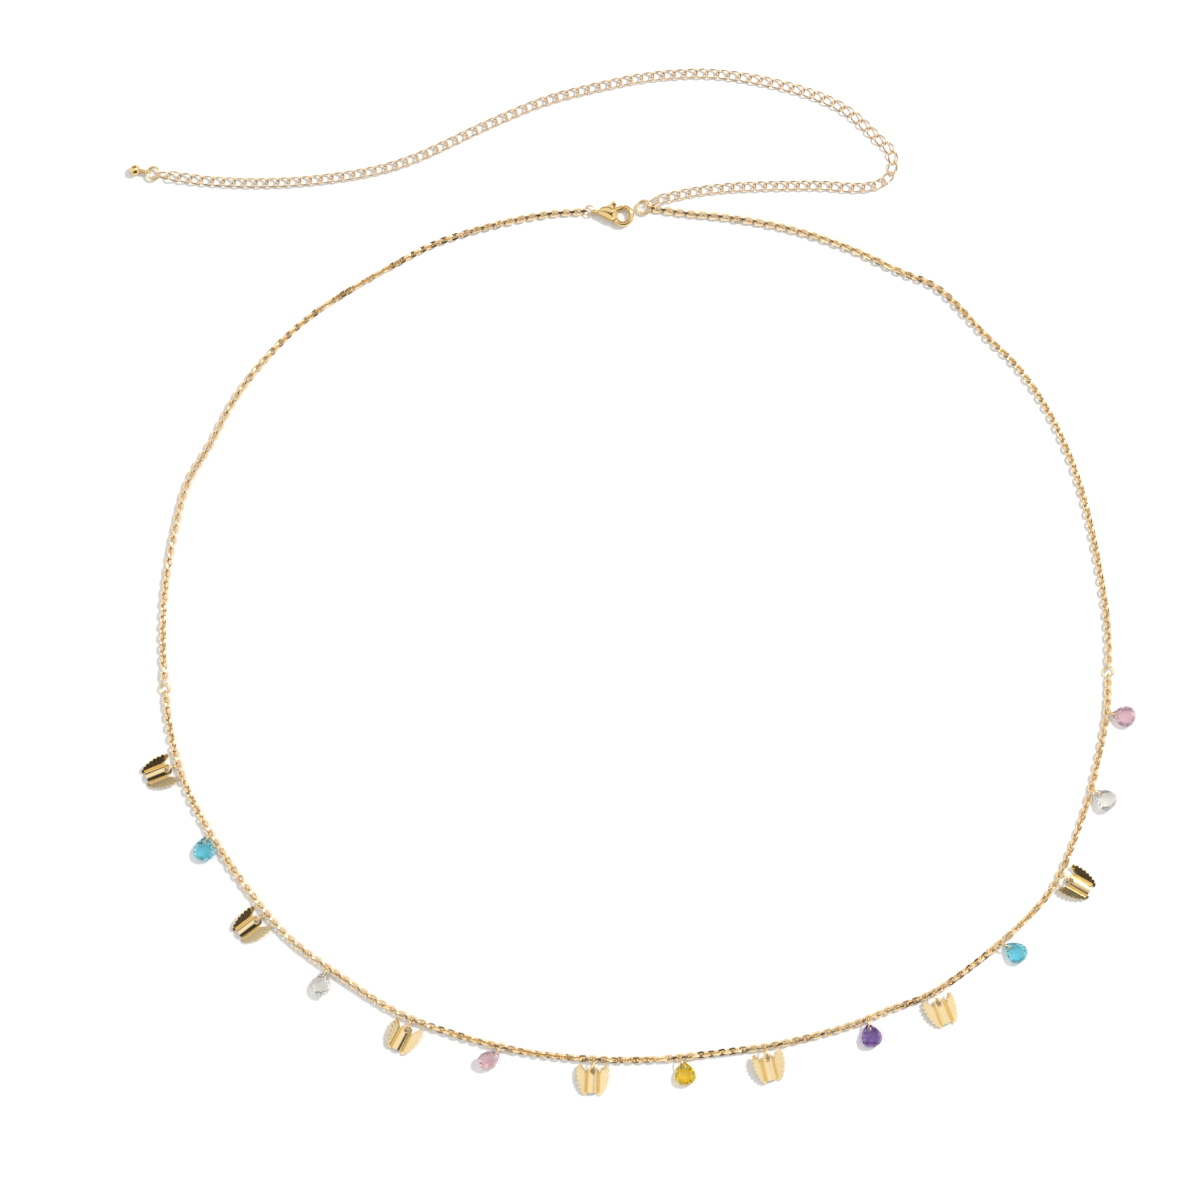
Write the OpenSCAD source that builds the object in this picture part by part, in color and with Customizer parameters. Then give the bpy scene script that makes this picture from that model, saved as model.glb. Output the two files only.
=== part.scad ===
// Waist chain, laid out on a flat surface as a loop with its extender trailing round it.
// Three runs of fine cable chain meet at two side rings. The front run carries butterflies folded
// from sheet and faceted glass drops in turn, each on a ring of its own. A lobster clasp closes the
// loop on a heavy end ring, and a chain of twisted curb links runs on from there to a ball.
// +Z is up from the surface, and the middle of the layout is the origin. All sizes are millimetres.

/* [Cable chain] */
// Wire of a cable link
cable_wire = 0.4; // [0.3:0.05:0.4]
// Outside width of a cable link, which is also the chain's height
cable_width = 2; // [1.9:0.1:2.3]
// Outside length of a cable link
cable_length = 2.45; // [2.4:0.05:3]

/* [Extender chain] */
// Wire of a twisted curb link
curb_wire = 0.45; // [0.4:0.05:0.5]
// Outside width of a curb link
curb_width = 3; // [2.9:0.1:3.4]
// Outside length of a curb link
curb_length = 4.15; // [4:0.05:5]
// Slack between two curb links
curb_slack = 0.32; // [0.26:0.02:0.36]
// Twist of a curb link from one end to the other, in degrees
curb_twist = 90; // [80:5:100]
// Diameter of the ball at the extender's end
ball_diameter = 2.8; // [2.6:0.1:4]
// Length of the neck between the ball and its eye
ball_neck = 1.1; // [0.9:0.1:1.6]

/* [Rings] */
// Wire of the small rings at the clasp and the two sides
side_ring_wire = 0.4; // [0.35:0.05:0.45]
// Inside diameter of the small rings
side_ring_inside = 2.3; // [2.1:0.1:3]
// Wire of the heavy ring that the clasp hooks into
end_ring_wire = 0.7; // [0.6:0.05:0.75]
// Inside diameter of the heavy ring
end_ring_inside = 2.8; // [2.6:0.1:3.6]
// Wire of the ring that holds the ball
ball_ring_wire = 0.65; // [0.55:0.05:0.7]
// Inside diameter of the ring that holds the ball
ball_ring_inside = 2.6; // [2.4:0.1:3.4]
// Wire of the rings that carry the butterflies and glass drops
drop_ring_wire = 0.4; // [0.35:0.05:0.4]
// Inside diameter of the rings that carry the butterflies and glass drops
drop_ring_inside = 2.6; // [2.5:0.1:2.9]

/* [Clasp] */
// Distance from the clasp's eye to the middle of its hook
clasp_reach = 7.6; // [7.2:0.1:9]
// Thickness of the clasp
clasp_thickness = 2.6; // [2.5:0.1:3]
// Outside diameter of the hook
hook_outside = 5.9; // [5.6:0.1:6.6]
// Width of the hook's bar
hook_bar = 1.3; // [1.1:0.1:1.4]
// Inside diameter of the eye
eye_inside = 0.9; // [0.8:0.05:1]
// Wire of the eye
eye_wire = 0.7; // [0.6:0.05:0.75]
// Diameter of the lever's pin
pin_diameter = 0.8; // [0.6:0.1:0.9]
// Thickness of the lever
lever_thickness = 1.3; // [1.1:0.1:1.4]
// Width of the lever's gate
gate_width = 0.9; // [0.8:0.05:1]
// How far the thumb tab stands out from the clasp's centre line
tab_height = 3.6; // [3.3:0.1:4]
// How far the lever opens, in degrees
lever_opening = 22; // [15:1:24]

/* [Butterflies] */
// Thickness of the sheet
sheet = 0.35; // [0.3:0.05:0.4]
// Length from the fore wing's tip to the hind wing's tip
wing_length = 8.4; // [8.2:0.1:10]
// Breadth of an unfolded wing
wing_breadth = 3.5; // [3.3:0.1:3.8]
// How steeply a wing is folded up, in degrees
wing_fold = 35; // [32:1:42]
// Number of scallops along a wing's edge
scallops = 9; // [7:1:12]
// Depth of a scallop
scallop_depth = 0.22; // [0.1:0.02:0.3]
// Width of the rounded body, from valley to valley
body_width = 3; // [2.8:0.1:3.4]
// Height of the rounded body above its valleys
body_height = 1.2; // [1.1:0.05:1.4]
// Length of the rounded body
body_length = 7.1; // [6.6:0.1:7.6]
// Diameter of the hole for the ring
body_hole = 1.3; // [1.2:0.05:1.4]

/* [Glass drops] */
// Length of a glass drop
glass_length = 6.4; // [6:0.1:8]
// Width of a glass drop
glass_width = 5.6; // [5.2:0.1:6.6]
// Thickness of a glass drop
glass_thickness = 3; // [2.7:0.1:3.2]
// Diameter of the hole for the ring
glass_hole = 1.1; // [1.05:0.05:1.2]
// Distance from the drop's tip to the middle of its hole
glass_hole_from_tip = 1.5; // [1.45:0.05:1.8]
// Number of facets round a glass drop
facets = 12; // [10:2:16]

/* [Fits] */
// Least gap between two pieces that are linked
play = 0.11; // [0.1:0.01:0.13]
// Gap round the lever's pin
pin_gap = 0.05; // [0.03:0.01:0.08]

/* [Hidden] */
// Places that each run passes through, from the middle of one ring to the middle of the next.
rear_left_places = [
    [-12, 99], [-24, 98], [-36.5, 95.5], [-47.5, 92.3], [-57, 88.5], [-77.5, 77], [-89.5, 68.5],
    [-99.5, 58.5], [-107, 48.5], [-113.5, 36.5], [-119.5, 26], [-123, 13], [-125.5, -2.5],
    [-126, -15.5], [-125.5, -28.5]];
front_places = [
    [-125.5, -28.5], [-124, -40], [-120.5, -53], [-113.5, -67], [-103.5, -82], [-92.5, -95],
    [-78.5, -105.5], [-63.5, -115], [-47.5, -121], [-29.5, -125.5], [-11, -127.5], [5.5, -127.5],
    [20.5, -126], [38.5, -123.5], [56, -119], [67.5, -114.5], [78.5, -110.3], [88.5, -103.8],
    [101.5, -93], [112, -81], [119.5, -63], [123.5, -48.5], [126, -35], [126.5, -24]];
rear_right_places = [
    [126.5, -24], [126.5, -15.5], [125.5, -5], [122, 14], [117.5, 30], [111, 44.5], [103, 56.5],
    [93.5, 66], [81.5, 78], [70.5, 83], [57.5, 89], [43, 93.8], [28, 96.8], [12.5, 98.5], [2.5, 100]];
extender_places = [
    [2.5, 100], [4.7, 101.3], [8, 102.4], [18.5, 104.5], [30.5, 105.5], [48.5, 105.8], [58.5, 105.2],
    [63.9, 105.8], [67.5, 107.7], [69, 111.3], [68.3, 115], [65.4, 118], [55.5, 126.5], [41.5, 132],
    [22.5, 135.5], [5.5, 135], [-9.5, 132.2], [-24.5, 128.2], [-40.5, 121.5], [-56.5, 114], [-68.5, 110],
    [-83.5, 107.5], [-98.5, 106.5], [-113.5, 107], [-128.5, 109]];
clasp_turn = -8;
ball_turn = 170;

// A drop's row: its place as a share of the front run, the swing of its ring from square to the run,
// its own turn from its ring's direction, its roll, and the tilt of its ring, all in degrees.
// Butterflies and glass drops alternate from the left, and the last glass drop has no butterfly.
SHARE = 0;
SWING = 1;
TURN = 2;
ROLL = 3;
TILT = 4;
butterfly_rows = [
    [0.057, 8, -2, -15, 6], [0.1865, -6, 4, -17, -4], [0.3195, -3, -2, -3, -6], [0.457, 2, -1, 0, 6],
    [0.584, 6, -2, -9, 6], [0.7165, -8, 1, 9, -6], [0.845, -2, -1, 4, -6]];
glass_rows = [
    [0.1135, 28, 28, 4, 4], [0.2455, 20, -8, 24, 4], [0.3885, -26, -13, -28, -4],
    [0.521, 20, -19, 3, 5], [0.664, -20, 13, -6, -5], [0.7775, 24, -15, 6, 4],
    [0.913, -26, 1, -12, -4], [0.9705, -10, 4, 4, -6]];
glass_colours = ["turquoise", "gainsboro", "lightpink", "gold", "rebeccapurple", "turquoise", "gainsboro",
    "thistle"];
gold = "goldenrod";
butterflies = len(butterfly_rows);
glasses = len(glass_rows);

// Steps of the smooth curve between two chosen places
curve_steps = 12;
// Longest stretch of a plain run between two of its sections, its number of sides, and the number of
// plain runs in a rear chain
run_stretch = 12;
run_sides = 8;
rear_runs = 5;
// Turns round a curb link and sides of its wire
curb_turns = 10;
curb_sides = 5;

cable_axis = cable_width / 2;
cable_pitch = cable_length - 2 * cable_wire - play;
curb_pitch = curb_length - 2 * curb_wire - curb_slack;
drop_ring_radius = (drop_ring_inside + drop_ring_wire) / 2;
side_ring_radius = (side_ring_inside + side_ring_wire) / 2;
end_ring_radius = (end_ring_inside + end_ring_wire) / 2;
ball_ring_radius = (ball_ring_inside + ball_ring_wire) / 2;

function unit(v) = v / norm(v);
function last(list) = list[len(list) - 1];

// A smooth curve through the places, each piece shaped by its two neighbours as well.
function bend(a, b, c, d, u) =
    (2 * b + (c - a) * u + (2 * a - 5 * b + 4 * c - d) * u * u + (3 * b - a - 3 * c + d) * u * u * u) / 2;
function through(p) =
    let (q = concat([2 * p[0] - p[1]], p, [2 * last(p) - p[len(p) - 2]]))
    concat([for (i = [1:len(q) - 3], k = [0:curve_steps - 1])
        bend(q[i - 1], q[i], q[i + 1], q[i + 2], k / curve_steps)], [last(p)]);
function travelled(c) =
    [for (i = 0, s = 0; i < len(c); s = i + 1 < len(c) ? s + norm(c[i + 1] - c[i]) : s, i = i + 1) s];
// A route is its x and its y against the distance travelled, and its whole length.
function route(places) =
    let (c = through(places), s = travelled(c))
    [[for (i = [0:len(c) - 1]) [s[i], c[i].x]], [for (i = [0:len(c) - 1]) [s[i], c[i].y]], last(s)];
function place(route, s) = [lookup(s, route[0]), lookup(s, route[1])];
function heading(route, s) =
    let (d = place(route, s + cable_pitch / 2) - place(route, s - cable_pitch / 2)) atan2(d.y, d.x);

rear_left = route(rear_left_places);
front = route(front_places);
rear_right = route(rear_right_places);
extender = route(extender_places);

// Room that is left to a ring's wire inside a link's width or length.
function room(size, wire, ring_wire) = size / 2 - wire - ring_wire / 2 - play;
// Distance from a flat ring's middle to the standing link that holds its wire at a height off its axis.
function first_link(ring_radius, ring_wire, length, width, wire, off_axis) =
    ring_radius + room(length, wire, ring_wire) * sqrt(1 - pow(off_axis / room(width, wire, ring_wire), 2));

// The small rings lie low or high in the links' ends, the heavy ring between its two chains' axes.
side_ring_sink = 0.7 * room(cable_width, cable_wire, side_ring_wire);
side_ring_height = cable_axis - side_ring_sink;
clasp_ring_height = cable_axis + side_ring_sink;
end_ring_lift = 0.6 * room(cable_width, cable_wire, end_ring_wire);
end_ring_height = cable_axis + end_ring_lift;

function first_cable_link(ring_radius, ring_wire, off_axis) =
    first_link(ring_radius, ring_wire, cable_length, cable_width, cable_wire, off_axis);
side_link = first_cable_link(side_ring_radius, side_ring_wire, side_ring_sink);
end_link = first_cable_link(end_ring_radius, end_ring_wire, end_ring_lift);
// The carriers of the drops, in their order along the front run
carriers = concat([for (i = [0:butterflies - 1]) each [butterfly_rows[i][SHARE], glass_rows[i][SHARE]]],
    [for (i = [butterflies:glasses - 1]) glass_rows[i][SHARE]]) * front[2];

module ring(inside, wire) {
    rotate_extrude($fn = 72)
        translate([(inside + wire) / 2, 0])
            circle(d = wire, $fn = 36);
}

// An oval cable link: two half rings and two straight sides, its long way along X.
module cable_link() {
    radius = (cable_width - cable_wire) / 2;
    straight = cable_length - cable_width;
    for (side = [0, 1])
        rotate([0, 0, 180 * side])
            translate([straight / 2, 0, 0]) {
                rotate([0, 0, -90])
                    rotate_extrude(angle = 180, $fn = 72)
                        translate([radius, 0])
                            circle(d = cable_wire, $fn = 36);
                translate([0, radius, 0])
                    rotate([0, -90, 0])
                        cylinder(h = straight, d = cable_wire, $fn = 36);
            }
}

// A plain run of the chain's width from one distance to another, flat underneath.
module plain_run(route, from, to) {
    stretches = max(1, round((to - from) / run_stretch));
    radius = cable_axis / cos(180 / run_sides);
    sections = [for (i = [0:stretches])
        let (s = from + (to - from) * i / stretches, p = place(route, s), h = heading(route, s))
        for (k = [0:run_sides - 1])
            let (a = 360 * (k + 0.5) / run_sides)
            [p.x - radius * cos(a) * sin(h), p.y + radius * cos(a) * cos(h), cable_axis + radius * sin(a)]];
    walls = [for (i = [0:stretches - 1], k = [0:run_sides - 1])
        let (n = (k + 1) % run_sides, a = i * run_sides, b = a + run_sides)
        each [[a + k, b + k, a + n], [a + n, b + k, b + n]]];
    caps = [[for (k = [0:run_sides - 1]) k],
        [for (k = [run_sides - 1:-1:0]) stretches * run_sides + k]];
    polyhedron(sections, concat(walls, caps));
}

module link_at(route, s, standing) {
    p = place(route, s);
    translate([p.x, p.y, cable_axis])
        rotate([standing ? 90 : 0, 0, heading(route, s)])
            cable_link();
}

// Real links at both ends and round each flat carrier, joined by plain runs.
module cable_chain(route, knots) {
    ends = len(knots) - 1;
    reach = cable_pitch + cable_length / 2 + play;
    for (k = [0:ends])
        link_at(route, knots[k], k == 0 || k == ends);
    for (k = [1:ends]) {
        link_at(route, knots[k - 1] + cable_pitch, k > 1);
        link_at(route, knots[k] - cable_pitch, k < ends);
        plain_run(route, knots[k - 1] + reach, knots[k] - reach);
    }
}

// Evenly spaced knots, so that no plain run is long.
function spread(first, last, runs) = [for (i = [0:runs]) first + (last - first) * i / runs];

module chain_rear_left() {
    color(gold) cable_chain(rear_left, spread(side_link, rear_left[2] - side_link, rear_runs));
}

module chain_front() {
    color(gold) cable_chain(front, concat([side_link], carriers, [front[2] - side_link]));
}

module chain_rear_right() {
    color(gold) cable_chain(rear_right, spread(side_link, rear_right[2] - end_link, rear_runs));
}

// Angle at which the extender's end links stand, and the height of its axis: low where its links lie
// flat, high enough at both ends for a standing link.
curb_stand = 75;
curb_half = curb_twist / 2;
curb_side = (curb_width - curb_wire) / 2;
curb_low = curb_side * sin(curb_half) * 0.56 + curb_wire / 2;
curb_high = curb_side * sin((curb_stand + curb_half) / 2) + curb_wire / 2;
curb_climb = 16;
function ease(u) = let (v = min(1, max(0, u))) v * v * (3 - 2 * v);
function curb_height(s) =
    curb_high - (curb_high - curb_low) * ease(min(s, extender[2] - s) / curb_climb);

ball_ring_height = curb_high;
curb_first = first_link(end_ring_radius, end_ring_wire, curb_length - curb_slack, curb_width - curb_slack,
    curb_wire, curb_high - end_ring_height);
curb_last = extender[2] - first_link(ball_ring_radius, ball_ring_wire, curb_length - curb_slack,
    curb_width - curb_slack, curb_wire, 0);
curb_steps = ceil((curb_last - curb_first) / curb_pitch);

// A curb link is an oval with round ends that twists along its length, from the near angle to the far one.
module curb_link(near, far) {
    straight = (curb_length - curb_width) / 2;
    half = straight + curb_side;
    function along_x(t) = straight * sign(cos(t)) + curb_side * cos(t);
    function angle(t) = near + (far - near) * (along_x(t) / half + 1) / 2;
    function turned(x, y, t) = [x, y * cos(angle(t)), y * sin(angle(t))];
    function centre(t) = turned(along_x(t), curb_side * sin(t), t);
    points = [for (i = [0:curb_turns - 1])
        let (t = 360 * i / curb_turns, along = unit(centre(t + 1) - centre(t - 1)),
            o = turned(cos(t), sin(t), t),
            n = unit(o - (o * along) * along), m = cross(along, n))
        for (k = [0:curb_sides - 1])
            let (w = 360 * k / curb_sides) centre(t) + curb_wire / 2 * (cos(w) * n + sin(w) * m)];
    faces = [for (i = [0:curb_turns - 1], k = [0:curb_sides - 1])
        let (n = (k + 1) % curb_sides, a = i * curb_sides, b = ((i + 1) % curb_turns) * curb_sides)
        each [[a + k, b + k, a + n], [a + n, b + k, b + n]]];
    polyhedron(points, faces);
}

module extender_chain() {
    step = (curb_last - curb_first) / curb_steps;
    color("darkkhaki")
        for (i = [0:curb_steps])
            let (s = curb_first + i * step, p = place(extender, s),
                d = place(extender, s + step / 2) - place(extender, s - step / 2),
                rise = curb_height(s + step / 2) - curb_height(s - step / 2))
            translate([p.x, p.y, curb_height(s)])
                rotate([0, -atan2(rise, norm(d)), atan2(d.y, d.x)])
                    curb_link(i == 0 ? curb_stand : -curb_half, i == curb_steps ? -curb_stand : curb_half);
}

// A ring that lies flat in the standing end links.
module lying_ring(at, inside, wire, height) {
    translate([at.x, at.y, height])
        ring(inside, wire);
}

module clasp_ring() {
    color(gold) lying_ring(rear_left_places[0], side_ring_inside, side_ring_wire, clasp_ring_height);
}

module side_ring_left() {
    color(gold) lying_ring(front_places[0], side_ring_inside, side_ring_wire, side_ring_height);
}

module side_ring_right() {
    color(gold) lying_ring(rear_right_places[0], side_ring_inside, side_ring_wire, side_ring_height);
}

module end_ring() {
    color(gold) lying_ring(extender_places[0], end_ring_inside, end_ring_wire, end_ring_height);
}

module ball_ring() {
    color(gold) lying_ring(last(extender_places), ball_ring_inside, ball_ring_wire, ball_ring_height);
}

// The ball, its neck and its standing eye are one piece.
module ball_drop() {
    radius = ball_diameter / 2;
    eye_hole = ball_ring_wire + 2 * play;
    wire = curb_wire;
    reach = eye_hole / 2 + wire + ball_neck + radius;
    at = last(extender_places) + ball_ring_radius * [cos(ball_turn), sin(ball_turn)];
    color(gold)
        translate([at.x, at.y, 0])
            rotate([0, 0, ball_turn]) {
                translate([0, 0, ball_ring_height])
                    rotate([90, 0, 0])
                        ring(eye_hole, wire);
                translate([reach, 0, radius])
                    sphere(r = radius, $fn = 72);
                translate([(eye_hole + wire) / 2, 0, ball_ring_height])
                    rotate([0, 90, 0])
                        cylinder(h = ball_neck + radius, d = 2 * wire, $fn = 48);
            }
}

// The clasp's own frame: the eye is at the origin, the hook lies along +X, the lever is on the +Y side.
eye_height = max(clasp_ring_height, eye_inside / 2 + eye_wire);
hook_at = [clasp_reach, 0];
hook_radius = (hook_outside - hook_bar) / 2;
hook_tip_angle = 97;
hook_root_angle = -200;
bar_angle = -118;
gate_angle = 150;
gate_tip_angle = 93;
pin_at = [clasp_reach * 0.35, 0];
lever_wall = 0.45;
lever_radius = pin_diameter / 2 + lever_wall;
cheek_radius = lever_radius + lever_wall / 2;
gate_radius = hook_radius - hook_bar / 2 + gate_width / 2;
gate_from = hook_at + gate_radius * [cos(gate_angle), sin(gate_angle)];
// The gate's end is an arc about the pin, so that it swings past the hook's tip.
gate_reach = norm(hook_at + hook_radius * [cos(gate_tip_angle), sin(gate_tip_angle)] - pin_at);

module clasp_frame() {
    at = rear_left_places[0] + side_ring_radius * [cos(clasp_turn), sin(clasp_turn)];
    translate([at.x, at.y, clasp_thickness / 2])
        rotate([0, 0, clasp_turn])
            children();
}

// A bar from one point to another, as thick as asked and with round ends in plan.
module bar(from, to, width, thick) {
    d = to - from;
    translate([from.x, from.y, -thick / 2])
        rotate([0, 0, atan2(d.y, d.x)]) {
            cylinder(h = thick, d = width, $fn = 60);
            translate([norm(d), 0, 0])
                cylinder(h = thick, d = width, $fn = 60);
            translate([0, -width / 2, 0])
                cube([norm(d), width, thick]);
        }
}

// A stretch of the hook's ring between two angles.
module hook_arc(from, to, radius, width, thick) {
    translate([hook_at.x, hook_at.y, -thick / 2])
        rotate([0, 0, from])
            rotate_extrude(angle = to - from, $fn = 96)
                translate([radius - width / 2, 0])
                    square([width, thick]);
}

module at_pin() {
    translate([pin_at.x, pin_at.y, 0])
        children();
}

module clasp_body() {
    root = hook_at + hook_radius * [cos(bar_angle), sin(bar_angle)];
    heel = [eye_inside / 2 + eye_wire, -hook_bar / 4];
    slot = lever_thickness + 2 * play;
    gate = gate_from - pin_at;
    gate_room = gate_width / 2 + 2 * play;
    gate_far = norm(gate) + gate_room;
    color(gold)
        clasp_frame() {
            translate([0, 0, eye_height - clasp_thickness / 2])
                rotate([90, 0, 0])
                    ring(eye_inside, eye_wire);
            difference() {
                union() {
                    hook_arc(hook_root_angle, hook_tip_angle, hook_radius, hook_bar, clasp_thickness);
                    bar(heel, root, hook_bar, clasp_thickness);
                    bar(pin_at - [hook_bar / 3, 0], pin_at, 2 * cheek_radius, clasp_thickness);
                    bar(pin_at, hook_at - [hook_radius, 0], hook_bar, clasp_thickness);
                }
                // The slot that the lever turns in
                at_pin()
                    cylinder(h = slot, r = lever_radius + play, center = true, $fn = 60);
                at_pin()
                    rotate([0, 0, atan2(gate.y, gate.x)])
                        translate([0, 0, -slot / 2])
                            linear_extrude(slot)
                                polygon([[0, gate_room], [gate_far, gate_room],
                                    gate_far * [cos(lever_opening), -sin(lever_opening)] - [0, gate_room],
                                    [0, -gate_room]]);
                // The hook's tip ends clear of the gate's swing
                intersection() {
                    at_pin()
                        cylinder(h = 2 * clasp_thickness, r = gate_reach + play, center = true, $fn = 96);
                    translate([hook_at.x - hook_outside / 2, hook_radius / 2, -clasp_thickness])
                        cube([hook_outside, hook_outside, 2 * clasp_thickness]);
                }
            }
            at_pin()
                cylinder(h = clasp_thickness, d = pin_diameter, center = true, $fn = 48);
        }
}

module clasp_lever() {
    tab_foot = pin_at + (gate_from - pin_at) * 0.6;
    tab_breadth = 0.8;
    tab_slant = 0.2;
    bore = pin_diameter / 2 + pin_gap;
    color(gold)
        clasp_frame()
            difference() {
                union() {
                    at_pin()
                        cylinder(h = lever_thickness, r = lever_radius, center = true, $fn = 60);
                    bar(pin_at, gate_from, gate_width, lever_thickness);
                    intersection() {
                        hook_arc(90, gate_angle, gate_radius, gate_width, lever_thickness);
                        at_pin()
                            cylinder(h = 2 * lever_thickness, r = gate_reach, center = true, $fn = 96);
                    }
                    translate([0, 0, -lever_thickness / 2])
                        linear_extrude(lever_thickness)
                            polygon([tab_foot - [tab_breadth, tab_slant], [tab_foot.x, tab_height],
                                [tab_foot.x + tab_breadth, tab_height - tab_slant],
                                gate_from + [tab_slant, 0]]);
                }
                at_pin()
                    cylinder(h = 2 * clasp_thickness, r = bore, center = true, $fn = 48);
            }
}

// A drop's ring stands on the surface, leans by its tilt and passes down through its carrier link,
// pulled straight outward within the link.
ring_pull = cable_width / 2 - cable_wire - drop_ring_wire / 2 - 2 * play;
body_pull = (body_hole - drop_ring_wire) / 2 - 2 * play;
function ring_middle(tilt) = drop_ring_radius * cos(tilt) + drop_ring_wire / 2 + play / 2;
// How far the ring's wire is from the ring's middle at a height, outward and sideways.
function ring_offset(height, tilt) =
    let (f = asin((height - ring_middle(tilt)) / (drop_ring_radius * cos(tilt))))
    [drop_ring_radius * cos(f), drop_ring_radius * sin(f) * sin(tilt)];
function ring_centre(tilt) = let (o = ring_offset(cable_axis, tilt)) [o.x, -o.y];
function ring_reach(height, tilt) = ring_centre(tilt) + ring_offset(height, tilt);

// The frame of a drop: on the surface under its ring's place in the carrier link, +X outward from the run.
module at_carrier(row) {
    s = row[SHARE] * front[2];
    p = place(front, s);
    translate([p.x, p.y, 0])
        rotate([0, 0, heading(front, s) - 90])
            translate([ring_pull, 0, 0])
                rotate([0, 0, row[SWING]])
                    children();
}

module drop_ring(row) {
    c = ring_centre(row[TILT]);
    color(gold)
        at_carrier(row)
            translate([c.x, c.y, ring_middle(row[TILT])])
                rotate([90 - row[TILT], 0, 0])
                    ring(drop_ring_inside, drop_ring_wire);
}

// Butterfly: the hole is over the origin, the tail lies along +X, the valleys are at height 0.
valley = body_width / 2;
fold_radius = sheet * 0.6;
body_front = body_hole / 2 + 0.55;
body_end = body_length - body_front;
wing_front = wing_length * 0.21;
// Where a wing's root starts, and how far the fold and the wing end before the body does
root_start = body_length * 0.14;
root_step = 0.1;
body_radius = (valley * valley + body_height * body_height) / (2 * body_height);

// Points of a wing's edge, from the fore tip to the hind tip, as shares of its length and its breadth.
wing_edge = [[0, 0.74], [0.03, 0.88], [0.12, 0.98], [0.24, 1], [0.47, 0.95], [0.7, 0.77], [0.88, 0.54],
    [0.96, 0.36], [1, 0.16]];
// A wing's outline: its root, the straight fore edge and the scalloped outer edge.
wing_curve = through([for (e = wing_edge) [e[0] * wing_length - wing_front, e[1] * wing_breadth]]);
wing_travel = travelled(wing_curve);
wing_x = [for (k = [0:len(wing_curve) - 1]) [wing_travel[k], wing_curve[k].x]];
wing_y = [for (k = [0:len(wing_curve) - 1]) [wing_travel[k], wing_curve[k].y]];
wing_steps = scallops * 4;
wing_outline = concat([[root_start, 0]],
    [for (i = [0:wing_steps])
        let (at = last(wing_travel) * i / wing_steps, bite = scallop_depth * (1 - abs(sin(45 * i))))
        [lookup(at, wing_x), lookup(at, wing_y) - bite]],
    [[body_end - 2 * root_step, 0]]);

module butterfly_body() {
    difference() {
        intersection() {
            // A shell that is round from valley to valley
            translate([-body_front, 0, body_height - body_radius])
                rotate([0, 90, 0])
                    difference() {
                        cylinder(h = body_length, r = body_radius + sheet / 2, $fn = 90);
                        translate([0, 0, -1])
                            cylinder(h = body_length + 2, r = body_radius - sheet / 2, $fn = 90);
                    }
            // Its round front end
            union() {
                translate([valley - body_front, 0, 0])
                    cylinder(h = 2 * body_height, r = valley, $fn = 72);
                translate([valley - body_front, -valley, 0])
                    cube([body_length, 2 * valley, 2 * body_height]);
            }
        }
        cylinder(h = 2 * body_height, d = body_hole, $fn = 48);
    }
}

module butterfly_form() {
    butterfly_body();
    for (side = [0, 1])
        mirror([0, side, 0])
            translate([0, valley, 0]) {
                translate([root_start, 0, 0])
                    rotate([0, 90, 0])
                        cylinder(h = body_end - root_step - root_start, r = fold_radius, $fn = 36);
                rotate([wing_fold, 0, 0])
                    translate([0, 0, -sheet / 2])
                        linear_extrude(sheet)
                            polygon(wing_outline);
            }
}

// Height of the valleys' middle when the butterfly rests on one valley.
function butterfly_lift(roll) = fold_radius + valley * abs(sin(roll));

module butterfly(row) {
    roll = row[ROLL];
    at = ring_reach(butterfly_lift(roll) + body_height * cos(roll), row[TILT]);
    color("palegoldenrod")
        at_carrier(row)
            translate([at.x + body_pull, at.y, butterfly_lift(roll)])
                rotate([0, 0, row[TURN]])
                    translate([0, body_height * sin(roll), 0])
                        rotate([roll, 0, 0])
                            butterfly_form();
}

// Glass drop: the hole is over the origin, the round end lies along +X, the girdle is at height 0.
// Each row of corners: its size as a share of the outline, and its height as a share of half the thickness.
glass_levels = [[0.46, 1], [0.78, 0.6], [1, 0.12], [1, -0.12], [0.74, -0.65], [0.4, -1]];
function pear(t) = sin(t) * pow(sin(t / 2), 0.7);
pear_most = max([for (t = [90:1:150]) pear(t)]);
function glass_corner(t, size, level) =
    let (middle = glass_length * 0.6, u = t > 180 ? 360 - t : t, side = t > 180 ? -1 : 1,
        x = middle + (glass_length * (1 - cos(u)) / 2 - middle) * size,
        y = side * glass_width / 2 * pear(u) / pear_most * size,
        thin = min(1, 0.3 + 0.7 * x / (glass_length * 0.32)))
    [x - glass_hole_from_tip, y, level * thin * glass_thickness / 2];
function glass_corners(roll) =
    [for (row = [0:len(glass_levels) - 1], k = [0:facets - 1])
        let (t = 360 * (k + (row % 2) / 2) / facets,
            p = glass_corner(t, glass_levels[row][0], glass_levels[row][1]))
        [p.x, p.y * cos(roll) - p.z * sin(roll), p.y * sin(roll) + p.z * cos(roll)]];
function glass_lift(roll) = -min([for (p = glass_corners(roll)) p.z]);

module glass_drop(row, colour) {
    roll = row[ROLL];
    points = glass_corners(roll);
    lift = glass_lift(roll);
    at = ring_reach(lift, row[TILT]);
    rows = len(glass_levels);
    walls = [for (r = [0:rows - 2], k = [0:facets - 1])
        let (n = (k + 1) % facets, a = r * facets, b = a + facets, same = r % 2 == 0)
        each (same ? [[a + k, b + k, a + n], [a + n, b + k, b + n]]
            : [[a + k, b + n, a + n], [a + k, b + k, b + n]])];
    caps = [[for (k = [0:facets - 1]) k], [for (k = [facets - 1:-1:0]) (rows - 1) * facets + k]];
    color(colour)
        at_carrier(row)
            translate([at.x - play, at.y, lift])
                rotate([0, 0, row[TURN]])
                    difference() {
                        polyhedron(points, concat(walls, caps));
                        translate([0, 0, -glass_thickness])
                            cylinder(h = 2 * glass_thickness, d = glass_hole, $fn = 48);
                    }
}

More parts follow.
